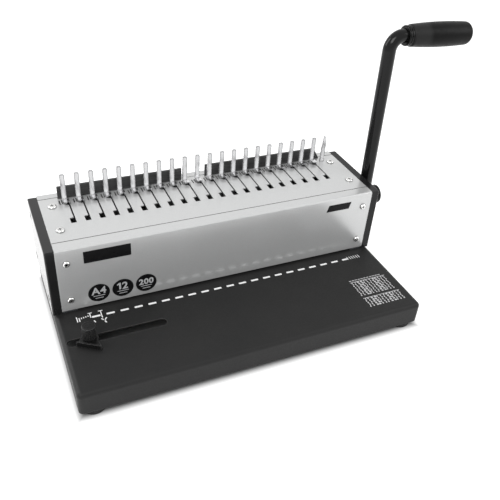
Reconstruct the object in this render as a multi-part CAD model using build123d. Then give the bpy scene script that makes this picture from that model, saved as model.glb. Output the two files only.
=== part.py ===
from build123d import *
import math
import os

# Comb binding machine, in millimetres.
# +X is to the machine's right, +Y to its back and +Z up. The origin is on the surface that
# the machine stands on, under the middle of its base.

# ---- hole pattern of plastic comb binding ----
pitch = 14.2875
hole_count = 21
hole_width = 8.0
hole_depth = 3.0

# ---- base ----
base_inset = 1.0
base_depth = 211.0
base_height = 24.0
base_sheet = 1.5
base_bend = 4.5
base_corner = 4.8
gusset_size = 28.0
foot_height = 6.5
foot_radius = 11.5
foot_edge = 1.5
foot_inset_x = 15.0
foot_inset_y = 12.2

# ---- body ----
body_width = 364.0
body_depth = 102.0
body_height = 76.5
end_cap_depth = 9.25
cap_wall = 2.2
cap_edge = 1.2
cap_rear_corner = 5.0
cap_post_wall = 1.6
cover_sheet = 1.2
cover_bend = 2.0
front_lip = 12.0
rear_lip = 10.7
seam_gap = 0.8
frame_sheet = 2.0
frame_flange = 12.75
throat_gap = 2.4

# ---- screws ----
head_height = 2.0
head_round = 1.4
head_room = 0.6
top_head_radius = 4.2
front_head_radius = 3.4
screw_radius = 1.9
screw_past = 2.3
cross_length = 3.6
cross_width = 0.8
cross_depth = 1.0
screw_inset_top = 11.75
screw_inset_front = 9.65
top_screw_front = 31.2
top_screw_rear = 75.0
front_screw_low = 15.3
front_screw_high = 59.6
cap_screw_inset = 14.0
cap_screw_low = 12.0
frame_screw_front = 26.0
frame_screw_rear = 84.0
die_screw_steps = (-9, -3, 3, 9)

# ---- clearances ----
running_fit = 0.05
press_gap = 0.02
moving_gap = 0.3
cam_gap = 0.25

# ---- tines, hooks and slots of the opener ----
tine_to_hole = 4.6
tine_width = 4.9
tine_thick = 1.6
tine_rise = 32.0
tine_corner = 1.5
tine_back = 82.0
tine_bar_top = 5.0
tine_bar_height = 14.0
last_tine_tip = 2.4
last_tine_taper = 12.0
hook_stem = 0.9
hook_to_tine = 3.6
hook_length = 5.8
hook_rise = 3.2
hook_tab = 5.65
hook_tab_thick = 0.9
hook_foot_inset = 2.0
slot_width = 1.5
slot_front = 41.0
front_window_width = 5.45
front_window_length = 9.5
front_window_round = 1.0
rear_window_width = 7.35
rear_window_front = 77.5
rear_window_rear = 85.0
side_slot_offset = 5.0
side_slot_width = 1.2
side_slot_length = 8.0

# ---- strips behind the tines ----
rest_height = 13.5
rest_thick = 2.2
rest_front = 88.7
rest_left_start = -153.0
rest_left_end = -20.0
rest_right_start = 7.5
rest_right_end = 152.5
rest_taper = 8.0
rest_peg_radius = 0.9
rest_peg_length = 2.5

# ---- handle and its shaft ----
pivot_y = 38.0
pivot_z = 46.0
shaft_radius = 6.0
bush_wall = 2.0
bush_lip = 4.0
bush_flange = 1.2
clip_thick = 1.0
clip_groove = 0.8
shaft_stub = 4.0
hub_wall = 5.0
hub_length = 21.7
hub_edge = 0.8
hub_cap_length = 4.6
hub_cap_round = 1.6
hub_spot_depth = 1.5
arm_radius = 7.15
arm_offset = 8.6
arm_length = 187.7
arm_bend = 14.0
arm_lean = 1.8
grip_droop = 1.8
spigot_radius = 4.5
set_screw_radius = 2.5
set_screw_sunk = 0.8
set_screw_socket = 1.5
set_screw_key = 1.2
collar_start = 16.0
collar_length = 6.0
collar_radius = 10.4
collar_groove = 1.2
collar_groove_depth = 1.0
grip_length = 77.5
grip_end_radius = 11.3
grip_mid_radius = 12.7
grip_swell = 26.0
grip_tip_radius = 12.1
grip_rim = 1.2
grip_dome = 6.0
grip_wall_end = 14.0

# ---- punching ----
punch_row = 10.5
punch_stroke = 10.0
punch_angle = 65.0
punch_fit = 0.06
punch_shear = 0.8
guide_thick = 5.6
guide_front = 3.5
guide_rear = 25.5
die_thick = 5.0
die_margin = 5.25
die_land_end = 1.6
stop_behind_punch = 4.5
bar_top = 31.5
bar_flange = 3.0
bar_web_height = 10.0
bar_rear = 34.0
bar_front = 5.0
ear_inset = 11.75
pin_inset = 16.75
pin_back = 17.0
pin_radius = 2.5
pin_rise = 6.0
spring_radius = 3.7
spring_wire = 0.5
spring_turns = 5
tip_inside_guide = 0.3
tube_wall = 2.45
tube_inset = 15.75
cam_width = 8.0
cam_reach = 120.0
cam_hub_radius = 12.0
lobe_tip = 3.0
dog_length = 4.0
dog_start = 20.0
dog_end = 160.0
dog_behind = -60.0
dog_gap_angle = 2.5

# ---- opening ----
open_travel = 26.0
open_angle = 55.0
lever_start = 2.0
lever_inset = 6.75
lever_thick = 3.5
lever_hub_wall = 5.0
lever_sleeve_wall = 2.0
carriage_sheet = 1.5
carriage_drop = 9.0
carriage_front = 63.0
carriage_rear = 80.0
carriage_inset = 3.75
leg_inset = 10.25
leg_thick = 2.5
leg_width = 6.5
leg_foot_low = 14.0
leg_foot_high = 22.0
tab_thick = 3.0
rail_height = 3.0
rail_width = 7.25
rail_front = 34.5

# ---- chip tray ----
tray_width = 298.0
tray_front = -9.5
tray_lift = 2.5
tray_under_die = 1.2
tray_wall = 1.6
runner_sheet = 1.5
runner_ledge = 5.0
tray_pull_width = 70.0
tray_pull_height = 6.0

# ---- edge guide ----
guide_slot_left = -177.0
guide_slot_right = -80.0
guide_slot_width = 9.4
guide_line = -43.6
guide_x = -155.6
guide_turn = -32.6
stud_radius = 2.5
stud_head = 1.5
shoe_length = 14.0
shoe_width = 14.0
shoe_thick = 2.7
stop_sheet = 1.5
stop_height = 5.5
stop_length = 23.6
stop_left = 8.2
stop_offset = 12.0
stop_margin = 3.0
stop_neck = 1.5
knob_radius = 6.5
knob_height = 13.4
knob_collar = 2.0
knob_cover = 3.0
knob_ribs = 24
knob_edge = 1.0
knob_stem = 5.3
flute_radius = 0.5
flute_out = 0.15

# ---- places worked out from the sizes above ----
base_width = body_width - 2 * base_inset
base_top = foot_height + base_height
base_front = -base_depth / 2
base_rear = base_depth / 2
body_front = base_rear - body_depth
body_top = base_top + body_height
panel_reach = body_width / 2 - end_cap_depth
frame_reach = panel_reach - frame_sheet
flange_reach = panel_reach - frame_flange - frame_sheet
front_lip_end = body_front + front_lip
rear_lip_start = base_rear - rear_lip
panel_under = body_top - cover_sheet
frame_top = panel_under - frame_sheet
shaft_y = body_front + pivot_y
shaft_z = base_top + pivot_z
hub_radius = shaft_radius + hub_wall
tube_radius = shaft_radius + running_fit + tube_wall
lever_hub = shaft_radius + lever_hub_wall
lever_sleeve = shaft_radius + lever_sleeve_wall
tube_reach = frame_reach - tube_inset
lever_inner = frame_reach - lever_inset
carriage_reach = frame_reach - carriage_inset
leg_inner = frame_reach - leg_inset
rail_inner = frame_reach - rail_width
ear_reach = frame_reach - ear_inset
pin_reach = frame_reach - pin_inset
die_under = base_top - base_sheet - die_thick
tray_floor_z = foot_height + tray_lift
tray_top = die_under - tray_under_die
cam_base = punch_stroke / math.radians(punch_angle)
lever_base = open_travel / math.radians(open_angle)
row_y = body_front + punch_row
pin_y = body_front + pin_back
guide_reach = flange_reach - 2 * moving_gap
guide_bottom = base_top + throat_gap
guide_top = guide_bottom + guide_thick
bar_top_z = base_top + bar_top
bar_under = bar_top_z - bar_flange
web_under = bar_under - bar_web_height
tine_y = body_front + tine_back
hook_rear = tine_y - tine_thick - moving_gap * 2
hook_front = hook_rear - hook_length
carriage_low = body_top - carriage_drop
carriage_top = carriage_low + carriage_sheet
arm_x = body_width / 2 + arm_offset
grip_start = arm_x + collar_start + collar_length
bar_end = grip_start + grip_length - grip_wall_end
grip_z = shaft_z + arm_length
guide_y = body_front + guide_line
shoe_top = base_top - base_sheet - moving_gap
knob_low = base_top + 2 * moving_gap + stop_sheet
stud_top = knob_low + knob_collar + knob_height - knob_cover
clip_x = -panel_reach - moving_gap - clip_thick
hub_start = body_width / 2 + moving_gap * 2
hole_xs = [(n - (hole_count - 1) / 2) * pitch for n in range(hole_count)]
slot_tines = [x - tine_to_hole for x in hole_xs]
tine_xs = slot_tines + [slot_tines[-1] + pitch]


def block(x0, x1, y0, y1, z0, z1):
    """A box between two corners."""
    centre = Pos((x0 + x1) / 2, (y0 + y1) / 2, (z0 + z1) / 2)
    return centre * Box(abs(x1 - x0), abs(y1 - y0), abs(z1 - z0))


def rod_x(x0, x1, y, z, radius):
    """A cylinder along X."""
    turned = Rot(0, 90, 0) * Cylinder(radius, x1 - x0)
    return Pos((x0 + x1) / 2, y, z) * turned


def rod_y(y0, y1, x, z, radius):
    """A cylinder along Y."""
    turned = Rot(90, 0, 0) * Cylinder(radius, y1 - y0)
    return Pos(x, (y0 + y1) / 2, z) * turned


def rod_z(z0, z1, x, y, radius):
    """A cylinder along Z."""
    return Pos(x, y, (z0 + z1) / 2) * Cylinder(radius, z1 - z0)


def plate_yz(points, x0, x1):
    """A flat plate cut to an outline in the YZ plane."""
    outline = Polyline(*[(0, y, z) for y, z in points], close=True)
    solid = extrude(make_face(outline), amount=x1 - x0, dir=(1, 0, 0))
    return Pos(x0, 0, 0) * solid


def mirrored(solid):
    """The same piece on the left side."""
    return mirror(solid, about=Plane.YZ)


def join(pieces):
    """One shape from a list of touching or crossing pieces."""
    whole = pieces[0]
    for piece in pieces[1:]:
        whole = whole + piece
    return whole


def cut(solid, tools):
    """Take a list of tools out of a solid."""
    for tool in tools:
        solid = solid - tool
    return solid


def screw(head_radius, shank_length):
    """A pan-head cross screw, its head up on the plane Z = 0."""
    head = Pos(0, 0, head_height / 2) * Cylinder(head_radius, head_height)
    rim = head.edges().sort_by(Axis.Z)[-1]
    head = fillet(rim, head_round)
    shank = Pos(0, 0, -shank_length / 2) * Cylinder(screw_radius, shank_length)
    top = head_height - cross_depth / 2
    arm_a = Pos(0, 0, top) * Box(cross_length, cross_width, cross_depth)
    arm_b = Pos(0, 0, top) * Box(cross_width, cross_length, cross_depth)
    return head + shank - arm_a - arm_b


def write(name, solids):
    """Write a node, from one solid or a list of separate solids."""
    shape = Compound(children=solids) if isinstance(solids, list) else solids
    export_step(shape, f"parts/{name}.step")


# ---------------------------------------------------------------- base

def foot_places():
    """Centres of the four feet."""
    x = base_width / 2 - foot_inset_x
    y = base_depth / 2 - foot_inset_y
    return [(sx * x, sy * y) for sx in (-1, 1) for sy in (-1, 1)]


def die_set_screw_places():
    """Screws that clamp the guide plate, the paper stop and the die to the base."""
    y = (row_y + stop_behind_punch + body_front + guide_rear) / 2
    return [(x, y) for x in [step * pitch for step in die_screw_steps]]


def frame_screw_places():
    """Screws that hold the side frames down."""
    x = flange_reach + frame_flange / 2
    return [(side * x, body_front + y) for side in (-1, 1) for y in (frame_screw_front, frame_screw_rear)]


def die_window():
    """Length and width of the raised land of the die."""
    half_x = hole_xs[-1] + hole_width / 2 + die_land_end
    return half_x, row_y - die_margin, row_y + die_margin


def base_tray():
    """Folded sheet tray, open below, with corner gussets for the feet."""
    half_x = base_width / 2
    outer = block(-half_x, half_x, base_front, base_rear, foot_height, base_top)
    outer = fillet(outer.edges().filter_by(Axis.Z), base_corner)
    outer = fillet(outer.faces().sort_by(Axis.Z)[-1].edges(), base_bend)
    inset = base_sheet
    inner = block(-half_x + inset, half_x - inset, base_front + inset, base_rear - inset,
                  foot_height - 1, base_top - inset)
    inner = fillet(inner.edges().filter_by(Axis.Z), base_corner - inset)
    inner = fillet(inner.faces().sort_by(Axis.Z)[-1].edges(), base_bend - inset)
    tray = outer - inner
    corner_x = half_x - inset
    corner_y = base_rear - inset
    for sx in (-1, 1):
        for sy in (-1, 1):
            gusset = block(sx * (half_x - gusset_size), sx * corner_x,
                           sy * (base_rear - gusset_size), sy * corner_y,
                           foot_height, foot_height + base_sheet)
            vertical = gusset.edges().filter_by(Axis.Z)
            outer_edge = vertical.sort_by(lambda e: sx * e.center().X + sy * e.center().Y)[-1]
            tray = tray + fillet(outer_edge, base_corner - inset)
    land_x, land_front, land_rear = die_window()
    gap = moving_gap
    tools = [block(-land_x - gap, land_x + gap, land_front - gap, land_rear + gap,
                   base_top - 2 * base_sheet, base_top + 1)]
    slot_y = body_front + guide_line
    slot_length = guide_slot_right - guide_slot_left
    slot_centre = (guide_slot_left + guide_slot_right) / 2
    slot = Pos(slot_centre, slot_y, base_top - base_sheet / 2)
    tools.append(slot * extrude(SlotOverall(slot_length, guide_slot_width), base_sheet, both=True))
    door = tray_width / 2 + gap
    tools.append(block(-door, door, corner_y - 1, base_rear + 1,
                       tray_floor_z - gap, tray_top + gap))
    for x, y in foot_places():
        tools.append(rod_z(foot_height - 1, foot_height + 2 * base_sheet, x, y, screw_radius))
    for x, y in die_set_screw_places() + frame_screw_places():
        tools.append(rod_z(base_top - 2 * base_sheet, base_top + 1, x, y, screw_radius))
    return cut(tray, tools)


def rubber_feet():
    """Four round feet, each with a sunk hole for its screw."""
    feet = []
    for x, y in foot_places():
        foot = rod_z(0, foot_height, x, y, foot_radius)
        foot = fillet(foot.edges().sort_by(Axis.Z)[0], foot_edge)
        foot = foot - rod_z(-1, foot_height / 2, x, y, front_head_radius + head_room)
        feet.append(foot - rod_z(0, foot_height + 1, x, y, screw_radius))
    return feet


def foot_screws():
    """Screws up through the feet into the gussets."""
    screws = []
    for x, y in foot_places():
        turned = Rot(180, 0, 0) * screw(front_head_radius, foot_height / 2 + base_sheet + screw_past)
        screws.append(Pos(x, y, foot_height / 2) * turned)
    return screws


# ---------------------------------------------------------------- body

def side_frame():
    """Right side frame: a plate with a flange turned in on every edge."""
    front = body_front + cover_sheet
    rear = base_rear - cover_sheet
    shell = block(flange_reach, panel_reach, front, rear, base_top, panel_under)
    top_edges = shell.faces().sort_by(Axis.Z)[-1].edges().filter_by(Axis.X)
    shell = fillet(top_edges, cover_bend - cover_sheet + moving_gap)
    hollow = block(flange_reach - 1, frame_reach, front + frame_sheet, rear - frame_sheet,
                   base_top + frame_sheet, frame_top)
    tools = [hollow]
    tools.append(rod_x(frame_reach - 1, panel_reach + 1, shaft_y, shaft_z, shaft_radius + bush_wall))
    for x, y in frame_screw_places():
        tools.append(rod_z(base_top - 1, base_top + frame_sheet + 1, x, y, screw_radius))
    for x, y in top_screw_places():
        tools.append(rod_z(frame_top - 1, panel_under + 1, x, y, screw_radius))
    for x, z in front_screw_places():
        tools.append(rod_y(front - 1, front + frame_sheet + 1, x, z, screw_radius))
        tools.append(rod_y(rear - frame_sheet - 1, rear + 1, x, z, screw_radius))
    for y, z in cap_screw_places():
        tools.append(rod_x(frame_reach - 1, panel_reach + 1, y, z, screw_radius))
    return cut(shell, tools)


def frame_screws():
    """Screws down through the frames' lower flanges."""
    screws = []
    for x, y in frame_screw_places():
        shank = frame_sheet + base_sheet + screw_past
        screws.append(Pos(x, y, base_top + frame_sheet) * screw(front_head_radius, shank))
    return screws


def top_screw_places():
    """Screws of the top panel."""
    x = panel_reach - screw_inset_top
    return [(side * x, body_front + y) for side in (-1, 1) for y in (top_screw_front, top_screw_rear)]


def front_screw_places():
    """Screws of the front and rear covers, as X and Z."""
    x = panel_reach - screw_inset_front
    return [(side * x, base_top + z) for side in (-1, 1) for z in (front_screw_low, front_screw_high)]


def cap_screw_places():
    """Screws of the end caps, as Y and Z."""
    front = body_front + cap_screw_inset
    rear = base_rear - cap_screw_inset
    low = base_top + cap_screw_low
    return [(front, low), (rear, low), (rear, body_top - cap_screw_inset)]


def l_sheet(lip, outer_y, inward, low):
    """A sheet folded into a face and a top lip. inward is the lip's direction along Y."""
    lip_end = outer_y + inward * lip
    face_in = outer_y + inward * cover_sheet
    points = [(outer_y, low), (outer_y, body_top), (lip_end, body_top),
              (lip_end, panel_under), (face_in, panel_under), (face_in, low)]
    sheet = plate_yz(points, -panel_reach, panel_reach)
    along = sheet.edges().filter_by(Axis.X)
    outer_bend = along.sort_by_distance((0, outer_y, body_top))[0]
    sheet = fillet(outer_bend, cover_bend)
    along = sheet.edges().filter_by(Axis.X)
    inner_bend = along.sort_by_distance((0, face_in, panel_under))[0]
    return fillet(inner_bend, cover_bend - cover_sheet)


def front_cover():
    """Front sheet with its lip over the body, ending above the paper throat."""
    sheet = l_sheet(front_lip, body_front, 1, guide_bottom)
    holes = [rod_y(body_front - 1, body_front + 2 * cover_sheet, x, z, screw_radius)
             for x, z in front_screw_places()]
    return cut(sheet, holes)


def rear_cover():
    """Rear sheet with its lip behind the top panel."""
    sheet = l_sheet(rear_lip - seam_gap, base_rear, -1, base_top)
    holes = [rod_y(base_rear - 2 * cover_sheet, base_rear + 1, x, z, screw_radius)
             for x, z in front_screw_places()]
    return cut(sheet, holes)


def hook_slot(tine_x):
    """Stepped slot of one hook: front window, narrow slot and rear window."""
    low = panel_under - 1
    high = body_top + 1
    right = tine_x + hook_to_tine + slot_width / 2
    front = body_front + slot_front
    narrow = block(right - slot_width, right, front, body_front + rear_window_rear, low, high)
    window = block(right - front_window_width, right, front, front + front_window_length, low, high)
    left_edges = window.edges().filter_by(Axis.Z).sort_by(Axis.X)[:2]
    window = fillet(left_edges, front_window_round)
    rear = block(right - rear_window_width, right, body_front + rear_window_front,
                 body_front + rear_window_rear, low, high)
    side_x = tine_x - side_slot_offset
    side_rear = body_front + rear_window_rear
    side = block(side_x - side_slot_width / 2, side_x + side_slot_width / 2,
                 side_rear - side_slot_length, side_rear, low, high)
    return [narrow + window + rear, side]


def rest_peg_xs(start, end):
    """Pegs of one strip, near its ends and in its middle."""
    return [start + 10.0, (start + end) / 2, end - rest_taper - 10.0]


def rest_peg_places():
    """All the pegs of the two strips."""
    y = body_front + rest_front + rest_thick / 2
    xs = rest_peg_xs(rest_left_start, rest_left_end) + rest_peg_xs(rest_right_start, rest_right_end)
    return [(x, y) for x in xs]


def top_panel():
    """Flat sheet with the hooks' slots and a slot for the last tine."""
    front = front_lip_end + seam_gap
    panel = block(-panel_reach, panel_reach, front, rear_lip_start, panel_under, body_top)
    tools = []
    for tine_x in slot_tines:
        tools.extend(hook_slot(tine_x))
    last = tine_xs[-1]
    gap = moving_gap
    tools.append(block(last - tine_width / 2 - gap, last + tine_width / 2 + gap,
                       tine_y - tine_thick - gap, tine_y + gap, panel_under - 1, body_top + 1))
    for x, y in top_screw_places():
        tools.append(rod_z(panel_under - 1, body_top + 1, x, y, screw_radius))
    for x, y in rest_peg_places():
        tools.append(rod_z(panel_under - 1, body_top + 1, x, y, rest_peg_radius + press_gap))
    return cut(panel, [join(tools)])


def top_panel_screws():
    """Four screws down into the frames' top flanges."""
    shank = cover_sheet + frame_sheet + screw_past
    return [Pos(x, y, body_top) * screw(top_head_radius, shank) for x, y in top_screw_places()]


def face_screws(y, turn):
    """Four screws in the front or rear cover. turn stands the head outwards."""
    shank = cover_sheet + frame_sheet + screw_past
    turned = Rot(turn, 0, 0) * screw(front_head_radius, shank)
    return [Pos(x, y, z) * turned for x, z in front_screw_places()]


def end_cap(has_shaft_hole):
    """Right end cap: a moulded shell, open to the frame, with screw posts."""
    outer_x = body_width / 2
    shell = block(panel_reach, outer_x, body_front, base_rear, base_top, body_top)
    along = shell.edges().filter_by(Axis.X)
    rear_top = along.sort_by_distance((outer_x, base_rear, body_top))[0]
    shell = fillet(rear_top, cap_rear_corner)
    outer_face = shell.faces().sort_by(Axis.X)[-1]
    outer_edges = [e for e in outer_face.edges() if e.center().Z > base_top + moving_gap]
    shell = fillet(outer_edges, cap_edge)
    hollow = block(panel_reach - 1, outer_x - cap_wall, body_front + cap_wall, base_rear - cap_wall,
                   base_top + cap_wall, body_top - cap_wall)
    cap = shell - hollow
    bore_radius = front_head_radius + head_room
    for y, z in cap_screw_places():
        cap = cap + rod_x(panel_reach, outer_x - cap_wall, y, z, bore_radius + cap_post_wall)
        cap = cap - rod_x(outer_x - 2 * cap_wall, outer_x + 1, y, z, bore_radius)
        cap = cap - rod_x(panel_reach - 1, outer_x, y, z, screw_radius)
    if has_shaft_hole:
        cap = cap - rod_x(panel_reach - 1, outer_x + 1, shaft_y, shaft_z, shaft_radius + bush_lip)
    return cap


def end_cap_screws(side):
    """Three screws sunk in an end cap. side is 1 for right and -1 for left."""
    seat = body_width / 2 - 2 * cap_wall
    shank = seat - frame_reach + frame_sheet
    turned = Rot(0, side * 90, 0) * screw(front_head_radius, shank)
    return [Pos(side * seat, y, z) * turned for y, z in cap_screw_places()]


# ---------------------------------------------------------------- tines and strips

def tine_outline(x, tip_width):
    """One tine, standing on the bar, with rounded corners at its tip."""
    foot_z = body_top - tine_bar_top
    tip_z = body_top + tine_rise
    half = tine_width / 2
    tip = tip_width / 2
    shoulder_z = tip_z - last_tine_taper
    points = [(x - half, foot_z), (x + half, foot_z), (x + half, shoulder_z), (x + tip, tip_z),
              (x - tip, tip_z), (x - half, shoulder_z)]
    if tip_width == tine_width:
        points = [(x - half, foot_z), (x + half, foot_z), (x + half, tip_z), (x - half, tip_z)]
    face = make_face(Polyline(*[(px, tine_y, pz) for px, pz in points], close=True))
    tine = extrude(face, amount=tine_thick, dir=(0, -1, 0))
    tips = [e for e in tine.edges().filter_by(Axis.Y) if e.center().Z > tip_z - 0.1]
    return fillet(tips, min(tine_corner, tip_width / 2 - press_gap))


def tine_comb():
    """Stamped comb: a bar between the frames with 22 upright tines."""
    top = body_top - tine_bar_top
    pieces = [block(-frame_reach, frame_reach, tine_y - tine_thick, tine_y, top - tine_bar_height, top)]
    for x in tine_xs[:-1]:
        pieces.append(tine_outline(x, tine_width))
    pieces.append(tine_outline(tine_xs[-1], last_tine_tip))
    return join(pieces)


def comb_rest(start, end, taper):
    """Strip that stands on the top panel behind the tines, on three pegs."""
    front = body_front + rest_front
    points = [(start, body_top), (end, body_top), (end - taper, body_top + rest_height),
              (start, body_top + rest_height)]
    face = make_face(Polyline(*[(x, front, z) for x, z in points], close=True))
    strip = extrude(face, amount=rest_thick, dir=(0, 1, 0))
    for x in rest_peg_xs(start, end):
        strip = strip + rod_z(body_top - rest_peg_length, body_top, x, front + rest_thick / 2,
                              rest_peg_radius)
    return strip


# ---------------------------------------------------------------- paper throat and punches

def hole_tools(z0, z1, clearance):
    """The row of punch holes as cutting blocks."""
    half_w = hole_width / 2 + clearance
    half_d = hole_depth / 2 + clearance
    return [block(x - half_w, x + half_w, row_y - half_d, row_y + half_d, z0, z1) for x in hole_xs]


def die_plate():
    """Hardened die under the base sheet, its land flush with the table."""
    land_x, land_front, land_rear = die_window()
    under = base_top - base_sheet
    half = tray_width / 2 - press_gap
    plate = block(-half, half, body_front + guide_front, body_front + guide_rear, under - die_thick, under)
    land = block(-land_x, land_x, land_front, land_rear, under, base_top)
    tools = hole_tools(under - die_thick - 1, base_top + 1, punch_fit)
    for x, y in die_set_screw_places():
        tools.append(rod_z(under - die_thick - 1, under + 1, x, y, screw_radius))
    return cut(plate + land, [join(tools)])


def paper_stop():
    """Spacer behind the punches that the paper's edge meets."""
    front = row_y + stop_behind_punch
    bar = block(-guide_reach, guide_reach, front, body_front + guide_rear, base_top, guide_bottom)
    holes = [rod_z(base_top - 1, guide_bottom + 1, x, y, screw_radius)
             for x, y in die_set_screw_places()]
    return cut(bar, holes)


def punch_guide_plate():
    """Thick plate over the throat that guides and strips the punches."""
    plate = block(-guide_reach, guide_reach, body_front + guide_front, body_front + guide_rear,
                  guide_bottom, guide_top)
    tools = hole_tools(guide_bottom - 1, guide_top + 1, punch_fit)
    for x, y in die_set_screw_places():
        tools.append(rod_z(guide_bottom - 1, guide_top + 1, x, y, screw_radius))
    for side in (-1, 1):
        x = side * pin_reach
        tools.append(rod_z(guide_bottom - 1, guide_top + 1, x, pin_y, pin_radius + press_gap))
    return cut(plate, [join(tools)])


def die_set_screws():
    """Screws down through guide plate, stop, base and die."""
    shank = guide_top - die_under - moving_gap
    return [Pos(x, y, guide_top) * screw(front_head_radius, shank) for x, y in die_set_screw_places()]


def punch_guide_pins():
    """Two upright pins that keep the punch bar square."""
    top = bar_top_z + pin_rise
    return [rod_z(guide_bottom, top, side * pin_reach, pin_y, pin_radius) for side in (-1, 1)]


def return_springs():
    """Coil springs round the pins, under the ears of the punch bar."""
    low = guide_top + spring_wire
    height = bar_under - spring_wire - low
    springs = []
    for side in (-1, 1):
        helix = Helix(pitch=height / spring_turns, height=height, radius=spring_radius)
        start = Plane(origin=helix @ 0, z_dir=helix % 0)
        coil = sweep(start * Circle(spring_wire), path=helix)
        springs.append(Pos(side * pin_reach, pin_y, low) * coil)
    return springs


def punch_bar():
    """T-shaped bar: a web that holds the punches and a flange that the cams press."""
    front = body_front + bar_front
    flange = block(-ear_reach, ear_reach, front, body_front + bar_rear, bar_under, bar_top_z)
    web_x = hole_xs[-1] + hole_width / 2 + 1.1
    web = block(-web_x, web_x, front, row_y + die_margin, web_under, bar_under)
    holes = [rod_z(bar_under - 1, bar_top_z + 1, side * pin_reach, pin_y, pin_radius + running_fit)
             for side in (-1, 1)]
    return cut(flange + web, holes)


def punches():
    """Rectangular punches pinned under the bar, with shear-ground tips."""
    tip = guide_bottom + tip_inside_guide
    solids = []
    for x in hole_xs:
        left = x - hole_width / 2
        right = x + hole_width / 2
        points = [(left, tip), (x, tip + punch_shear), (right, tip), (right, web_under),
                  (left, web_under)]
        face = make_face(Polyline(*[(px, row_y - hole_depth / 2, pz) for px, pz in points], close=True))
        solids.append(extrude(face, amount=hole_depth, dir=(0, 1, 0)))
    return solids


# ---------------------------------------------------------------- shaft, cams and levers

def bush(side):
    """Flanged bush of the shaft in one side frame."""
    inner = frame_reach - bush_flange
    sleeve = rod_x(frame_reach, panel_reach, shaft_y, shaft_z, shaft_radius + bush_wall - press_gap)
    collar = rod_x(inner, frame_reach, shaft_y, shaft_z, shaft_radius + bush_lip)
    bore = rod_x(inner - 1, panel_reach + 1, shaft_y, shaft_z, shaft_radius + running_fit)
    ring = sleeve + collar - bore
    return ring if side > 0 else mirrored(ring)


def handle_shaft():
    """Steel shaft through both frames and into the hub."""
    left_end = -panel_reach - shaft_stub
    shaft = rod_x(left_end, hub_start + hub_length, shaft_y, shaft_z, shaft_radius)
    ring = rod_x(clip_x, clip_x + clip_thick, shaft_y, shaft_z, shaft_radius + 1)
    groove = ring - rod_x(clip_x - 1, clip_x + 3, shaft_y, shaft_z, shaft_radius - clip_groove)
    return shaft - groove


def shaft_clip():
    """Open retaining ring in the groove at the shaft's left end."""
    ring = rod_x(clip_x, clip_x + clip_thick, shaft_y, shaft_z, shaft_radius + bush_wall)
    ring = ring - rod_x(clip_x - 1, clip_x + 3, shaft_y, shaft_z, shaft_radius - clip_groove)
    mouth = shaft_radius * 0.8
    return ring - block(clip_x - 1, clip_x + 3, shaft_y - mouth, shaft_y + mouth,
                        shaft_z - 3 * shaft_radius, shaft_z)


def sector(x0, x1, inner, outer, start, end):
    """Part of a ring round the shaft, between two angles counted from +Y towards +Z."""
    ring = rod_x(x0, x1, shaft_y, shaft_z, outer) - rod_x(x0 - 1, x1 + 1, shaft_y, shaft_z, inner)
    steps = 6
    reach = outer * 1.3
    points = [(shaft_y, shaft_z)]
    for i in range(steps + 1):
        angle = math.radians(start + (end - start) * i / steps)
        points.append((shaft_y + reach * math.cos(angle), shaft_z + reach * math.sin(angle)))
    return ring & plate_yz(points, x0, x1)


def cam_tube():
    """Tube that turns on the shaft, with a dog at its right end."""
    tube = rod_x(-tube_reach, tube_reach, shaft_y, shaft_z, tube_radius)
    bore = rod_x(-tube_reach - 1, tube_reach + 1, shaft_y, shaft_z, shaft_radius + running_fit)
    dog = sector(tube_reach, tube_reach + dog_length, shaft_radius + running_fit, tube_radius,
                 dog_start, dog_end)
    return tube - bore + dog


def involute_cam(x0, x1, base, start, travel_angle, hub, turn):
    """Cam whose face moves a flat follower by base times the angle turned.

    The back of the lobe runs from its tip to the side of the hub.

    turn is 1 for a follower below the shaft's front side, which a forward turn presses down,
    and -1 for a follower in front of the lever's tip, which a backward turn pushes forward.
    """
    points = []
    steps = 10
    for i in range(steps + 1):
        angle = math.radians(travel_angle) * i / steps
        reach = start + base * angle
        if turn > 0:
            y = -base * math.cos(angle) - reach * math.sin(angle)
            z = base * math.sin(angle) - reach * math.cos(angle)
        else:
            y = -reach * math.cos(angle) + base * math.sin(angle)
            z = -reach * math.sin(angle) - base * math.cos(angle)
        points.append((0, shaft_y + y, shaft_z + z))
    face_curve = Spline(*points)
    centre = (0, shaft_y, shaft_z)
    tip = points[-1]
    heel = (0, tip[1], tip[2] + lobe_tip)
    flank = (0, shaft_y, shaft_z + hub - moving_gap)
    if turn < 0:
        heel = (0, tip[1] + lobe_tip, tip[2])
        flank = (0, shaft_y + hub - moving_gap, shaft_z)
    back = Polyline(tip, heel, flank, centre, points[0])
    lobe = extrude(make_face(Wire([face_curve] + back.edges())), amount=x1 - x0, dir=(1, 0, 0))
    boss = rod_x(x0, x1, shaft_y, shaft_z, hub)
    return Pos(x0, 0, 0) * lobe + boss


def cam_start():
    """Distance from the shaft's axis down to the punch bar, less the cam's clearance."""
    return shaft_z - bar_top_z - cam_gap


def punch_cams():
    """Two cams welded on the tube."""
    cams = []
    for side in (-1, 1):
        x = side * cam_reach
        cam = involute_cam(x - cam_width / 2, x + cam_width / 2, cam_base, cam_start(),
                           punch_angle, cam_hub_radius, 1)
        bore = rod_x(x - cam_width, x + cam_width, shaft_y, shaft_z, tube_radius)
        cams.append(cam - bore)
    return cams


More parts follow.
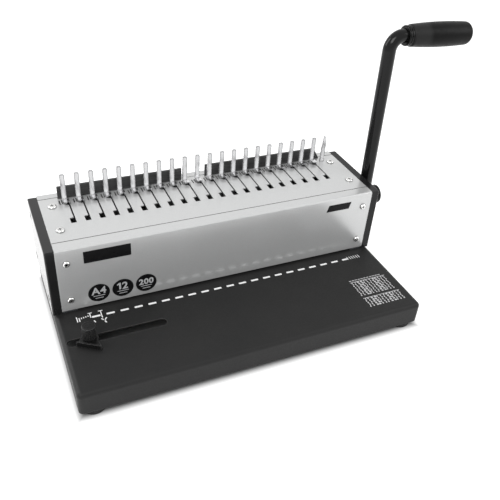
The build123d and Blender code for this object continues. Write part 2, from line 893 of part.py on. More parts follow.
def opener_lever(with_dog):
    """Right lever on the shaft, which pushes the carriage's tab forward."""
    outer_x = lever_inner + lever_thick
    lever = involute_cam(lever_inner, outer_x, lever_base, lever_start - cam_gap, open_angle,
                         lever_hub, -1)
    sleeve_start = tube_reach + dog_length + moving_gap
    sleeve_end = frame_reach - bush_flange - moving_gap
    sleeve = rod_x(sleeve_start, sleeve_end, shaft_y, shaft_z, lever_sleeve)
    lever = lever + sleeve
    if with_dog:
        lever = lever + sector(tube_reach + moving_gap, sleeve_start, shaft_radius, lever_sleeve,
                               dog_behind, dog_start - dog_gap_angle)
    return lever - rod_x(tube_reach, sleeve_end + 1, shaft_y, shaft_z, shaft_radius)


def opener_levers():
    """Both levers, pinned on the shaft."""
    return [mirrored(opener_lever(False)), opener_lever(True)]


# ---------------------------------------------------------------- opener carriage

def carriage_side():
    """Right end of the carriage: a leg down behind the shaft and a foot under it."""
    rear = body_front + carriage_rear
    tab_rear = shaft_y - lever_start
    low = base_top + leg_foot_low
    high = base_top + leg_foot_high
    points = [(rear, carriage_low), (rear, low), (tab_rear - tab_thick, low), (tab_rear - tab_thick, high),
              (rear - leg_width, high), (rear - leg_width, carriage_low)]
    leg = plate_yz(points, leg_inner, leg_inner + leg_thick)
    tab = block(leg_inner, lever_inner + lever_thick, tab_rear - tab_thick, tab_rear, low, high)
    return leg + tab


def hook_carriage():
    """Folded sheet under the top panel that carries the hooks."""
    plate = block(-carriage_reach, carriage_reach, body_front + carriage_front,
                  body_front + carriage_rear, carriage_low, carriage_top)
    side = carriage_side()
    return plate + side + mirrored(side)


def opening_hooks():
    """L-shaped hooks: a foot on the carriage, a stem up the slot and a tab over the panel."""
    hooks = []
    top = body_top + hook_rise + hook_tab_thick
    for tine_x in slot_tines:
        right = tine_x + hook_to_tine + hook_stem / 2
        stem = block(right - hook_stem, right, hook_front, hook_rear, carriage_top, top)
        tab = block(right - hook_tab, right, hook_front, hook_rear, top - hook_tab_thick, top)
        foot = block(right - hook_tab, right, body_front + carriage_front + hook_foot_inset, hook_rear,
                     carriage_top, carriage_top + hook_stem)
        hooks.append(stem + tab + foot)
    return hooks


def carriage_rails():
    """Two ledges on the side frames that the carriage slides on."""
    top = carriage_low - moving_gap
    rear = tine_y - tine_thick - moving_gap
    rail = block(rail_inner, frame_reach, body_front + rail_front, rear, top - rail_height, top)
    return [mirrored(rail), rail]


# ---------------------------------------------------------------- handle

def lean(shape):
    """Lean a piece back about the shaft's axis."""
    axis = Axis((0, shaft_y, shaft_z), (1, 0, 0))
    return shape.rotate(axis, -arm_lean)


def droop(shape):
    """Turn the grip's pieces down a little about the arm's bend."""
    axis = Axis((arm_x, shaft_y, grip_z), (0, 1, 0))
    return shape.rotate(axis, grip_droop)


def handle_hub():
    """Turned boss on the shaft, with a spot-faced socket for the arm."""
    hub = rod_x(hub_start, hub_start + hub_length, shaft_y, shaft_z, hub_radius)
    hub = fillet(hub.edges().sort_by(Axis.X)[0], hub_edge)
    seat = hub_radius - hub_spot_depth
    spot = rod_z(shaft_z + seat, shaft_z + 2 * hub_radius, arm_x, shaft_y, arm_radius + press_gap)
    socket = rod_z(shaft_z, shaft_z + hub_radius, arm_x, shaft_y, spigot_radius + press_gap)
    screw_hole = rod_z(shaft_z - 2 * hub_radius, shaft_z, arm_x, shaft_y, set_screw_radius)
    bore = rod_x(hub_start - 1, hub_start + hub_length + 1, shaft_y, shaft_z, shaft_radius)
    return cut(hub, [lean(spot), lean(socket), lean(screw_hole), bore])


def hub_set_screw():
    """Socket screw in the hub's underside, opposite the arm, against the shaft."""
    low = shaft_z - hub_radius + set_screw_sunk
    stem = rod_z(low, shaft_z - shaft_radius, arm_x, shaft_y, set_screw_radius - press_gap)
    socket = rod_z(low - 1, low + set_screw_socket, arm_x, shaft_y, set_screw_key)
    return lean(stem - socket)


def hub_cap():
    """Moulded cap over the hub's end."""
    start = hub_start + hub_length
    cap = rod_x(start, start + hub_cap_length, shaft_y, shaft_z, hub_radius)
    return fillet(cap.edges().sort_by(Axis.X)[-1], hub_cap_round)


def handle_arm():
    """Bent steel bar from the hub up and over into the grip."""
    foot_z = shaft_z + hub_radius - hub_spot_depth
    corner = Vector(arm_x, shaft_y, grip_z)
    outwards = Vector(1, 0, 0).rotate(Axis.Y, grip_droop)
    end = corner + outwards * (bar_end - arm_x)
    path = FilletPolyline((arm_x, shaft_y, foot_z), corner, end, radius=arm_bend)
    start = Plane(origin=(arm_x, shaft_y, foot_z), z_dir=(0, 0, 1))
    bar = sweep(start * Circle(arm_radius), path=path)
    spigot = rod_z(shaft_z + shaft_radius + moving_gap, foot_z, arm_x, shaft_y, spigot_radius)
    return lean(bar + spigot)


def grip_collar():
    """Moulded collar on the bar at the inner end of the grip, with one groove round it."""
    ring = rod_x(grip_start - collar_length, grip_start, shaft_y, grip_z, collar_radius)
    ring = fillet(ring.edges(), grip_rim)
    middle = grip_start - collar_length / 2
    groove_start = middle - collar_groove / 2
    groove_end = middle + collar_groove / 2
    groove = rod_x(groove_start, groove_end, shaft_y, grip_z, 2 * collar_radius)
    groove_floor = collar_radius - collar_groove_depth
    ring = ring - (groove - rod_x(groove_start - 1, groove_end + 1, shaft_y, grip_z, groove_floor))
    return lean(droop(ring - rod_x(arm_x, bar_end, shaft_y, grip_z, arm_radius + press_gap)))


def handle_grip():
    """Long hand grip pushed over the bar's end, a little barrel-shaped, with a domed end."""
    end = grip_start + grip_length
    rim = Line((grip_start, grip_end_radius - grip_rim), (grip_start + grip_rim, grip_end_radius))
    barrel = Spline(rim @ 1, (grip_start + grip_swell, grip_mid_radius),
                    (end - grip_dome, grip_tip_radius))
    dome = Spline(barrel @ 1, (end, 0), tangents=[barrel % 1, (0, -1)])
    closing = Polyline((end, 0), (grip_start, 0), rim @ 0)
    face = make_face([rim, barrel, dome] + closing.edges())
    grip = Pos(0, shaft_y, grip_z) * revolve(face, Axis.X, 360)
    return lean(droop(grip - rod_x(arm_x, bar_end, shaft_y, grip_z, arm_radius + press_gap)))


# ---------------------------------------------------------------- chip tray

def chip_tray():
    """Shallow open tray under the die, pulled out at the back."""
    half = tray_width / 2
    front = body_front + tray_front
    outer = block(-half, half, front, base_rear, tray_floor_z, tray_top)
    inner = block(-half + tray_wall, half - tray_wall, front + tray_wall, base_rear - 2 * tray_wall,
                  tray_floor_z + tray_wall, tray_top + 1)
    pull = block(-tray_pull_width / 2, tray_pull_width / 2, base_rear - tray_wall, base_rear + 1,
                 tray_floor_z + tray_wall, tray_floor_z + tray_wall + tray_pull_height)
    return outer - inner - pull


def tray_runners():
    """Two L-shaped strips under the base that the chip tray slides on."""
    side_x = tray_width / 2 + moving_gap
    front = body_front + tray_front
    rear = base_rear - base_bend - moving_gap
    ledge_top = tray_floor_z - moving_gap
    wall = block(side_x, side_x + runner_sheet, front, rear, ledge_top - runner_sheet,
                 base_top - base_sheet)
    ledge = block(side_x - runner_ledge, side_x, front, rear, ledge_top - runner_sheet, ledge_top)
    runner = wall + ledge
    return [mirrored(runner), runner]


# ---------------------------------------------------------------- edge guide

def edge_guide_shoe():
    """Plate under the base with a key that runs in the slot."""
    low = shoe_top - shoe_thick
    plate = block(guide_x - shoe_length / 2, guide_x + shoe_length / 2, guide_y - shoe_width / 2,
                  guide_y + shoe_width / 2, low, shoe_top)
    plate = fillet(plate.edges().filter_by(Axis.Z), shoe_thick)
    key = rod_z(shoe_top, base_top, guide_x, guide_y, guide_slot_width / 2 - moving_gap)
    return plate + key - rod_z(low - 1, base_top + 1, guide_x, guide_y, stud_radius)


def edge_guide_stud():
    """Stud riveted in the shoe, which the stop and the knob turn on."""
    low = shoe_top - shoe_thick
    stem = rod_z(low, stud_top, guide_x, guide_y, stud_radius)
    head = rod_z(low - stud_head, low, guide_x, guide_y, stud_radius + stud_head)
    return stem + head


def edge_guide_stop():
    """Flat plate on the stud with one edge turned up for the paper to meet."""
    low = base_top + moving_gap
    left = guide_x - stop_left
    right = left + stop_length
    front = guide_y - stop_offset
    neck = knob_radius + stop_neck
    shoulder = front + stop_margin
    points = [(left, front), (right, front), (right, shoulder), (guide_x + neck, guide_y),
              (guide_x, guide_y + neck), (guide_x - neck, guide_y), (left, shoulder)]
    outline = Polyline(*[(x, y, low) for x, y in points], close=True)
    plate = extrude(make_face(outline), amount=stop_sheet, dir=(0, 0, 1))
    disc = rod_z(low, low + stop_sheet, guide_x, guide_y, neck)
    lip = block(left, right, front, front + stop_sheet, low, low + stop_height)
    bore = rod_z(low - 1, low + stop_sheet + 1, guide_x, guide_y, stud_radius + running_fit)
    stop = plate + disc + lip - bore
    return stop.rotate(Axis((guide_x, guide_y, 0), (0, 0, 1)), guide_turn)


def edge_guide_knob():
    """Ribbed clamping knob with a collar that stands on the stop."""
    collar_top = knob_low + knob_collar
    top = collar_top + knob_height
    collar = rod_z(knob_low, collar_top, guide_x, guide_y, knob_stem)
    body = rod_z(collar_top, top, guide_x, guide_y, knob_radius)
    body = fillet(body.edges().sort_by(Axis.Z)[-1], knob_edge)
    flutes = []
    for n in range(knob_ribs):
        angle = 2 * math.pi * n / knob_ribs
        x = guide_x + (knob_radius + flute_out) * math.cos(angle)
        y = guide_y + (knob_radius + flute_out) * math.sin(angle)
        flutes.append(rod_z(collar_top - 1, top + 1, x, y, flute_radius))
    bore = rod_z(knob_low - 1, stud_top + moving_gap, guide_x, guide_y, stud_radius + running_fit)
    return cut(collar + body, flutes + [bore])


def main():
    """Build every piece and write it to its own file."""
    os.makedirs("parts", exist_ok=True)
    write("base_tray", base_tray())
    write("rubber_feet", rubber_feet())
    write("foot_screws", foot_screws())
    write("left_frame", mirrored(side_frame()))
    write("right_frame", side_frame())
    write("frame_screws", frame_screws())
    write("front_cover", front_cover())
    write("rear_cover", rear_cover())
    write("top_panel", top_panel())
    write("top_panel_screws", top_panel_screws())
    write("front_cover_screws", face_screws(body_front, 90))
    write("rear_cover_screws", face_screws(base_rear, -90))
    write("left_end_cover", mirrored(end_cap(False)))
    write("right_end_cover", end_cap(True))
    write("left_cover_screws", end_cap_screws(-1))
    write("right_cover_screws", end_cap_screws(1))
    write("tine_comb", tine_comb())
    write("comb_rest_left", comb_rest(rest_left_start, rest_left_end, 0.0))
    write("comb_rest_right", comb_rest(rest_right_start, rest_right_end, rest_taper))
    write("die_plate", die_plate())
    write("paper_stop", paper_stop())
    write("punch_guide_plate", punch_guide_plate())
    write("die_set_screws", die_set_screws())
    write("punch_guide_pins", punch_guide_pins())
    write("return_springs", return_springs())
    write("punch_bar", punch_bar())
    write("punches", punches())
    write("left_bush", bush(-1))
    write("right_bush", bush(1))
    write("handle_shaft", handle_shaft())
    write("shaft_clip", shaft_clip())
    write("cam_tube", cam_tube())
    write("punch_cams", punch_cams())
    write("opener_levers", opener_levers())
    write("hook_carriage", hook_carriage())
    write("opening_hooks", opening_hooks())
    write("carriage_rails", carriage_rails())
    write("handle_hub", handle_hub())
    write("hub_set_screw", hub_set_screw())
    write("hub_cap", hub_cap())
    write("handle_arm", handle_arm())
    write("grip_collar", grip_collar())
    write("handle_grip", handle_grip())
    write("chip_tray", chip_tray())
    write("tray_runners", tray_runners())
    write("edge_guide_shoe", edge_guide_shoe())
    write("edge_guide_stud", edge_guide_stud())
    write("edge_guide_stop", edge_guide_stop())
    write("edge_guide_knob", edge_guide_knob())


main()
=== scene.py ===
import math

import bmesh
import bpy
from mathutils import Matrix, Vector


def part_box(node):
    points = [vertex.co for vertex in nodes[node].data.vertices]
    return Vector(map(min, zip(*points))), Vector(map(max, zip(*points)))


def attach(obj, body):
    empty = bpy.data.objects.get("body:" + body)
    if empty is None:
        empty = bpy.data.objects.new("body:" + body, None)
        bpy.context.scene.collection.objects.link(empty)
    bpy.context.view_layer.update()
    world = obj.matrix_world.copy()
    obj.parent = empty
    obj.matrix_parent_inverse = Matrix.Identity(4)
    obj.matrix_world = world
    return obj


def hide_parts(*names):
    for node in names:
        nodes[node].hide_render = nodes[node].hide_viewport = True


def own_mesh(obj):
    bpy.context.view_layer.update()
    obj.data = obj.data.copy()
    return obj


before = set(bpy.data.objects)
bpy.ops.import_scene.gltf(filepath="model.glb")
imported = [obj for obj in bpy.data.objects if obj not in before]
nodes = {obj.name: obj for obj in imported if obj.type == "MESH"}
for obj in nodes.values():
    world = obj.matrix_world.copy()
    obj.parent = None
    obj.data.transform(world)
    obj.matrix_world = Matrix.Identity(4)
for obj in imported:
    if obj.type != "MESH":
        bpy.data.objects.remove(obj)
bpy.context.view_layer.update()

# ---- Camera ----
# A desk-height view from the front left, looking down over the paper table at the row
# of tines, with the handle standing at the right of the picture.
camera_data = bpy.data.cameras.new("camera")
camera_data.sensor_width = 36.0
camera_data.lens = 45.51
camera_data.clip_start = 0.01
camera = bpy.data.objects.new("camera", camera_data)
bpy.context.scene.collection.objects.link(camera)
camera_place = Vector((-0.2168, -0.4839, 0.4615))
look = Vector((0.36068, 0.72094, -0.59174)).normalized()
near_upright = Vector((0.19042, 0.56416, 0.80341))
right = look.cross(near_upright).normalized()
above = right.cross(look)
camera_turn = Matrix((right, above, -look)).transposed().to_4x4()
camera.matrix_world = Matrix.Translation(camera_place) @ camera_turn
bpy.context.scene.camera = camera
bpy.context.scene.view_settings.view_transform = "Standard"

# ---- Table and studio light ----
# A pale table top, painted darker and left without its glow under and just around the machine, a painted
# shadow;
# a white room around it, and large soft lamps: one over the front left, one behind on the left, one at the
# right.
table_size = 14.0
table_glow = 0.62
table_pale, table_painted_shadow = 0.80, 0.22
painted_shadow_start, painted_shadow_stop = -0.0060, 0.0075
room_glow, room_light_level = 1.0, 0.50
base_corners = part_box("base_tray")
table_mesh = bpy.data.meshes.new("table_top")
table_form = bmesh.new()
bmesh.ops.create_grid(table_form, x_segments=8, y_segments=8, size=table_size / 2)
table_form.to_mesh(table_mesh)
table_form.free()
table = bpy.data.objects.new("table_top", table_mesh)
bpy.context.scene.collection.objects.link(table)


def seen_ray(tree):
    """1 for a ray that the camera, a mirror or glass looks along, 0 for one that only lights."""
    path = tree.nodes.new("ShaderNodeLightPath")
    either = tree.nodes.new("ShaderNodeMath")
    either.operation = "MAXIMUM"
    tree.links.new(path.outputs["Is Camera Ray"], either.inputs[0])
    tree.links.new(path.outputs["Is Glossy Ray"], either.inputs[1])
    any_of = tree.nodes.new("ShaderNodeMath")
    any_of.operation = "MAXIMUM"
    tree.links.new(either.outputs[0], any_of.inputs[0])
    tree.links.new(path.outputs["Is Transmission Ray"], any_of.inputs[1])
    return any_of.outputs[0]


def outside_box(tree, box, start, stop):
    """0 under the box, rising to 1 between start and stop metres out from its sides."""
    middle = (box[0] + box[1]) / 2
    half = (box[1] - box[0]) / 2
    place = tree.nodes.new("ShaderNodeTexCoord")
    from_middle = tree.nodes.new("ShaderNodeVectorMath")
    from_middle.operation = "SUBTRACT"
    from_middle.inputs[1].default_value = middle
    spread = tree.nodes.new("ShaderNodeVectorMath")
    spread.operation = "ABSOLUTE"
    beyond = tree.nodes.new("ShaderNodeVectorMath")
    beyond.operation = "SUBTRACT"
    beyond.inputs[1].default_value = half
    apart = tree.nodes.new("ShaderNodeSeparateXYZ")
    furthest = tree.nodes.new("ShaderNodeMath")
    furthest.operation = "MAXIMUM"
    fade = tree.nodes.new("ShaderNodeMapRange")
    fade.interpolation_type = "SMOOTHSTEP"
    fade.inputs["From Min"].default_value = start
    fade.inputs["From Max"].default_value = stop
    tree.links.new(place.outputs["Object"], from_middle.inputs[0])
    tree.links.new(from_middle.outputs[0], spread.inputs[0])
    tree.links.new(spread.outputs[0], beyond.inputs[0])
    tree.links.new(beyond.outputs[0], apart.inputs[0])
    tree.links.new(apart.outputs["X"], furthest.inputs[0])
    tree.links.new(apart.outputs["Y"], furthest.inputs[1])
    tree.links.new(furthest.outputs[0], fade.inputs["Value"])
    return fade.outputs["Result"]


table_white = bpy.data.materials.new("table_white")
table_white.use_nodes = True
tree = table_white.node_tree
tree.nodes.clear()
matt = tree.nodes.new("ShaderNodeBsdfDiffuse")
glow = tree.nodes.new("ShaderNodeEmission")
# Under and just around the machine the table colour is painted darker and its glow fades out: a painted
# shadow.
from_machine = outside_box(tree, base_corners, painted_shadow_start, painted_shadow_stop)
glow_level = tree.nodes.new("ShaderNodeMath")
glow_level.operation = "MULTIPLY"
painted_shadow_under = tree.nodes.new("ShaderNodeMapRange")
painted_shadow_under.inputs["To Min"].default_value = table_painted_shadow
painted_shadow_under.inputs["To Max"].default_value = table_pale
tree.links.new(from_machine, painted_shadow_under.inputs["Value"])
tree.links.new(painted_shadow_under.outputs["Result"], matt.inputs["Color"])
full_glow = tree.nodes.new("ShaderNodeMath")
full_glow.operation = "MULTIPLY"
full_glow.inputs[1].default_value = table_glow
tree.links.new(from_machine, full_glow.inputs[0])
tree.links.new(seen_ray(tree), glow_level.inputs[0])
tree.links.new(full_glow.outputs[0], glow_level.inputs[1])
tree.links.new(glow_level.outputs[0], glow.inputs["Strength"])
both = tree.nodes.new("ShaderNodeAddShader")
table_out = tree.nodes.new("ShaderNodeOutputMaterial")
tree.links.new(matt.outputs[0], both.inputs[0])
tree.links.new(glow.outputs[0], both.inputs[1])
tree.links.new(both.outputs[0], table_out.inputs["Surface"])
table_mesh.materials.append(table_white)

room = bpy.data.worlds.new("room")
room.use_nodes = True
bpy.context.scene.world = room
tree = room.node_tree
tree.nodes.clear()
room_light = tree.nodes.new("ShaderNodeBackground")
room_light.inputs["Color"].default_value = (1, 1, 1, 1)
room_level = tree.nodes.new("ShaderNodeMapRange")
room_level.inputs["To Min"].default_value = room_light_level
room_level.inputs["To Max"].default_value = room_glow
tree.links.new(seen_ray(tree), room_level.inputs["Value"])
tree.links.new(room_level.outputs["Result"], room_light.inputs["Strength"])
room_out = tree.nodes.new("ShaderNodeOutputWorld")
tree.links.new(room_light.outputs[0], room_out.inputs["Surface"])


def softbox(name, place, aim, width, height, power):
    """A rectangular soft lamp at place, turned to aim."""
    lamp_data = bpy.data.lights.new(name, "AREA")
    lamp_data.shape = "RECTANGLE"
    lamp_data.size = width
    lamp_data.size_y = height
    lamp_data.energy = power
    lamp = bpy.data.objects.new(name, lamp_data)
    lamp.location = place
    lamp.rotation_euler = (Vector(aim) - Vector(place)).to_track_quat("-Z", "Y").to_euler()
    bpy.context.scene.collection.objects.link(lamp)


softbox("key_lamp", place=(-0.9, -0.9, 1.5), aim=(0, 0, 0.05), width=1.0, height=1.0, power=18.0)
softbox("back_lamp", place=(-1.0, 0.9, 0.9), aim=(0.1, 0, 0.15), width=0.5, height=1.0, power=8.0)
softbox("fill_lamp", place=(1.3, -0.6, 0.9), aim=(0.1, 0, 0.08), width=0.8, height=0.8, power=6.0)

# ---- Base tray ----
# The base is one sheet of 1.5 mm steel, folded down all round and powder coated in
# black with a fine matt texture. Its edges are painted lighter: rubbing, and a painted highlight along the
# rolled edge.
coat_grain = 0.0007
mix_first, mix_second, mix_out = 6, 7, 2  # the colour sockets of a Mix node


def grey(level):
    return (level, level, level)


def finish_of(name, colour, roughness, metallic=0.0, **sockets):
    """A new finish and its shader. Values that are even all over sit on the shader itself."""
    finish = bpy.data.materials.new(name)
    finish.use_nodes = True
    finish.diffuse_color = (*colour, 1)
    shader = finish.node_tree.nodes["Principled BSDF"]
    shader.inputs["Base Color"].default_value = (*colour, 1)
    shader.inputs["Roughness"].default_value = roughness
    shader.inputs["Metallic"].default_value = metallic
    for socket, value in sockets.items():
        shader.inputs[socket.replace("_", " ")].default_value = value
    return finish, shader


def make_node(shader, kind, **settings):
    """A node beside the shader, with its inputs or properties set by name."""
    made = shader.id_data.nodes.new("ShaderNode" + kind)
    for key, value in settings.items():
        if key.replace("_", " ") in made.inputs:
            made.inputs[key.replace("_", " ")].default_value = value
        else:
            setattr(made, key, value)
    return made


def speckle(shader, size, stretch=(1, 1, 1), detail=3.0, rough=0.55):
    """Even noise with spots about size metres across, pulled longer along an axis by stretch."""
    place = make_node(shader, "TexCoord")
    scaled = make_node(shader, "Mapping")
    scaled.inputs["Scale"].default_value = tuple(1 / s for s in stretch)
    noise = make_node(shader, "TexNoise", Scale=1 / size, Detail=detail, Roughness=rough)
    links = shader.id_data.links
    links.new(place.outputs["Object"], scaled.inputs["Vector"])
    links.new(scaled.outputs["Vector"], noise.inputs["Vector"])
    return noise.outputs["Fac"]


def between(shader, amount, low, high, start=0.3, stop=0.7):
    """Turns noise into numbers from low to high."""
    scale = make_node(shader, "MapRange", From_Min=start, From_Max=stop, To_Min=low, To_Max=high)
    shader.id_data.links.new(amount, scale.inputs["Value"])
    return scale.outputs["Result"]


def two_tone(shader, amount, first, second):
    """Mixes two colours by amount, and returns the mix."""
    mix = make_node(shader, "Mix", data_type="RGBA")
    mix.inputs[mix_first].default_value = (*first, 1)
    mix.inputs[mix_second].default_value = (*second, 1)
    shader.id_data.links.new(amount, mix.inputs["Factor"])
    return mix.outputs[mix_out]


def edge_band(shader, width):
    """1 along the piece's outer edges and 0 on its flat faces: edge wear on some finishes, painted highlights
    and painted dark outlines on others.
    """
    rounded = make_node(shader, "Bevel", samples=4, Radius=width)
    facing = make_node(shader, "NewGeometry")
    match = make_node(shader, "VectorMath", operation="DOT_PRODUCT")
    links = shader.id_data.links
    links.new(rounded.outputs["Normal"], match.inputs[0])
    links.new(facing.outputs["Normal"], match.inputs[1])
    return between(shader, match.outputs["Value"], low=1.0, high=0.0, start=0.75, stop=0.985)


def over(shader, below, amount, colour):
    """Lays colour over the tone in below, by amount."""
    mix = make_node(shader, "Mix", data_type="RGBA")
    links = shader.id_data.links
    links.new(amount, mix.inputs["Factor"])
    links.new(below, mix.inputs[mix_first])
    mix.inputs[mix_second].default_value = (*colour, 1)
    return mix.outputs[mix_out]


def times(shader, first, second):
    """The product of two amounts."""
    product = make_node(shader, "Math", operation="MULTIPLY")
    for socket, amount in zip(product.inputs, (first, second)):
        if isinstance(amount, (int, float)):
            socket.default_value = amount
        else:
            shader.id_data.links.new(amount, socket)
    return product.outputs[0]


def raise_by(shader, amount, depth, edge=0.0004):
    """Bumps the surface by depth metres, over edges softened to a small radius."""
    softened = make_node(shader, "Bevel", samples=4, Radius=edge)
    bump = make_node(shader, "Bump", Strength=1.0, Distance=depth)
    links = shader.id_data.links
    links.new(amount, bump.inputs["Height"])
    links.new(softened.outputs["Normal"], bump.inputs["Normal"])
    links.new(bump.outputs["Normal"], shader.inputs["Normal"])


def coloured(shader, tone):
    """Gives the shader its colour."""
    shader.id_data.links.new(tone, shader.inputs["Base Color"])


def roughened(shader, amount):
    """Gives the shader its roughness."""
    shader.id_data.links.new(amount, shader.inputs["Roughness"])


def finish_nodes(finish, *names):
    """Gives CAD nodes their finish."""
    for name in names:
        for holder in nodes[name].material_slots:
            holder.material = finish


base_coat, shader = finish_of("base_powder_coat", grey(0.0125), 0.5, Specular_IOR_Level=0.26)
patches = speckle(shader, 0.05, detail=2.0)
tone = two_tone(shader, between(shader, patches, 0, 1), (0.0112, 0.0112, 0.0114), (0.0140, 0.0139, 0.0137))
# The edges are painted lighter in patches: rubbing, and a painted highlight along the rolled edge.
lighter_edges = times(shader, edge_band(shader, 0.0016), between(shader, speckle(shader, 0.004), 0.35, 0.85))
coloured(shader, over(shader, tone, lighter_edges, (0.11, 0.11, 0.108)))
roughened(shader, between(shader, speckle(shader, 0.0015), 0.44, 0.58))
raise_by(shader, speckle(shader, coat_grain), 0.00003, edge=0.0008)
finish_nodes(base_coat, "base_tray")

# ---- Print on the base ----
# White ink screened on the coat: a row of dashes that shows where each hole is punched,
# short scales at both ends for setting the edge guide, and a small chart at the right.
ink_white = grey(0.92)
ink_rise = 0.00005
pitch = 0.0142875
holes = 21
table_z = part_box("base_tray")[1].z
dash_length, dash_width, dash_round, dash_y = 0.0084, 0.0025, 0.0008, -0.0106
first_dash = -0.1429


def flat_on_base(u, v, w):
    """The point u, v on the paper table, w above it."""
    return (u, v, table_z + w)


def bar(u0, v0, u1, v1):
    """The corners of an upright rectangle."""
    return [(u0, v0), (u1, v0), (u1, v1), (u0, v1)]


def stroke(u0, v0, u1, v1, width):
    """The corners of a straight stroke from one point to another."""
    along = Vector((u1 - u0, v1 - v0)).normalized() * (width / 2)
    side = Vector((-along.y, along.x))
    return [(u0 - side.x, v0 - side.y), (u1 - side.x, v1 - side.y),
            (u1 + side.x, v1 + side.y), (u0 + side.x, v0 + side.y)]


def rounded_bar(u0, v0, u1, v1, radius, steps=6):
    """A rectangle with rounded corners."""
    outline = []
    corners = ((u1 - radius, v0 + radius, -90), (u1 - radius, v1 - radius, 0),
               (u0 + radius, v1 - radius, 90), (u0 + radius, v0 + radius, 180))
    for cu, cv, start in corners:
        for k in range(steps + 1):
            turn = math.radians(start + 90 * k / steps)
            outline.append((cu + radius * math.cos(turn), cv + radius * math.sin(turn)))
    return outline


def laid(name, outlines, surface, rise, finish, body, low=0.0):
    """One thin piece made of flat outlines, laid on a surface and standing rise above it."""
    form = bmesh.new()
    for outline in outlines:
        bottom = [form.verts.new(surface(u, v, low)) for u, v in outline]
        top = [form.verts.new(surface(u, v, rise)) for u, v in outline]
        form.faces.new(top)
        count = len(outline)
        for k in range(count):
            form.faces.new((bottom[k], bottom[(k + 1) % count], top[(k + 1) % count], top[k]))
    bmesh.ops.recalc_face_normals(form, faces=form.faces)
    mesh = bpy.data.meshes.new(name)
    form.to_mesh(mesh)
    form.free()
    mesh.materials.append(finish)
    piece = bpy.data.objects.new(name, mesh)
    bpy.context.scene.collection.objects.link(piece)
    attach(piece, body)
    return piece


white_ink, shader = finish_of("white_ink", ink_white, 0.55)
thin = between(shader, speckle(shader, 0.0006), 0.0, 1.0, 0.25, 0.5)
coloured(shader, two_tone(shader, thin, grey(0.80), ink_white))
roughened(shader, between(shader, speckle(shader, 0.002), 0.5, 0.65))

dashes = []
for n in range(holes):
    middle = first_dash + n * pitch
    dashes.append(rounded_bar(middle - dash_length / 2, dash_y - dash_width / 2,
                              middle + dash_length / 2, dash_y + dash_width / 2, dash_round))
laid("punch_marks", dashes, flat_on_base, ink_rise, white_ink, "machine")

ruler_left, ruler_step, ruler_line = -0.1619, 0.0022, 0.0010
ruler_spans = ((-0.0135, -0.0060), (-0.0135, -0.0080), (-0.0100, -0.0082), (-0.0096, -0.0078),
               (-0.0092, -0.0074), (-0.0088, -0.0070), (-0.0110, -0.0040))
cross_bars = ((-0.1500, -0.0048, -0.1460, -0.0037), (-0.1397, -0.0045, -0.1353, -0.0035))
pointers = ((-0.1462, -0.0160, -0.1452, -0.0190, 0.0011), (-0.1375, -0.0045, -0.1375, -0.0145, 0.0010),
            (-0.1390, -0.0156, -0.1372, -0.0180, 0.0012), (-0.1338, -0.0156, -0.1360, -0.0184, 0.0012),
            (-0.1364, -0.0197, -0.1354, -0.0226, 0.0014))
right_foot, right_step, right_lean, right_line = 0.1468, 0.0029, 0.0006, 0.0007
right_front, right_back = -0.0122, -0.0074
scale_marks = []
for k, (front, back) in enumerate(ruler_spans):
    left = ruler_left + ruler_step * k
    scale_marks.append(bar(left, front, left + ruler_line, back))
for ends in cross_bars:
    scale_marks.append(bar(*ends))
for ends in pointers:
    scale_marks.append(stroke(*ends))
for k in range(6):
    foot = right_foot + right_step * k
    scale_marks.append(stroke(foot, right_front, foot - right_lean, right_back, right_line))
laid("guide_scales", scale_marks, flat_on_base, ink_rise, white_ink, "machine")

chart_left, chart_columns = 0.1258, 12
chart_blocks = ((0.1700, -0.0732, -0.0500, 9), (0.1712, -0.0915, -0.0772, 5))
heading_step, heading_length, heading_front, heading_back = 0.0037, 0.0028, -0.0478, -0.0469
rule_half, entry_margin, entry_shift = 0.0003, 0.0004, 0.10
long_entry, short_entry, entry_front, entry_back = 0.62, 0.34, 0.12, 0.80
chart = []
for k in range(11):
    left = chart_left + heading_step * k
    chart.append(bar(left, heading_front, left + heading_length, heading_back))
for chart_right, front, back, rows in chart_blocks:
    wide, deep = (chart_right - chart_left) / chart_columns, (back - front) / rows
    chart.append(bar(chart_left, back - rule_half, chart_right, back + rule_half))
    for c in range(chart_columns):
        entry = (long_entry if c % 5 in (2, 3) else short_entry) * wide
        for r in range(rows):
            shift = entry_shift * wide * ((c + 2 * r) % 3)
            start = chart_left + c * wide + entry_margin + shift
            chart.append(bar(start, front + (r + entry_front) * deep,
                             start + entry, front + (r + entry_back) * deep))
chart_ink, shader = finish_of("chart_ink", (0.62, 0.62, 0.63), 0.55)
ink_cover = between(shader, speckle(shader, 0.0009), 0, 1)
coloured(shader, two_tone(shader, ink_cover, (0.50, 0.50, 0.51), (0.74, 0.74, 0.75)))
roughened(shader, between(shader, speckle(shader, 0.002), 0.5, 0.65))
laid("paper_chart", chart, flat_on_base, ink_rise, chart_ink, "machine")

# ---- Feet ----
# Four round feet of soft black rubber, moulded with a rounded lower rim and held from
# below by zinc-plated screws.
foot_rubber, shader = finish_of("foot_rubber", grey(0.016), 0.72, Specular_IOR_Level=0.35)
dust = between(shader, speckle(shader, 0.003, detail=5.0), 0, 1, 0.45, 0.75)
coloured(shader, two_tone(shader, dust, grey(0.014), (0.030, 0.029, 0.027)))
roughened(shader, between(shader, speckle(shader, 0.002), 0.65, 0.82))
raise_by(shader, speckle(shader, 0.0005), 0.00002)
finish_nodes(foot_rubber, "rubber_feet")

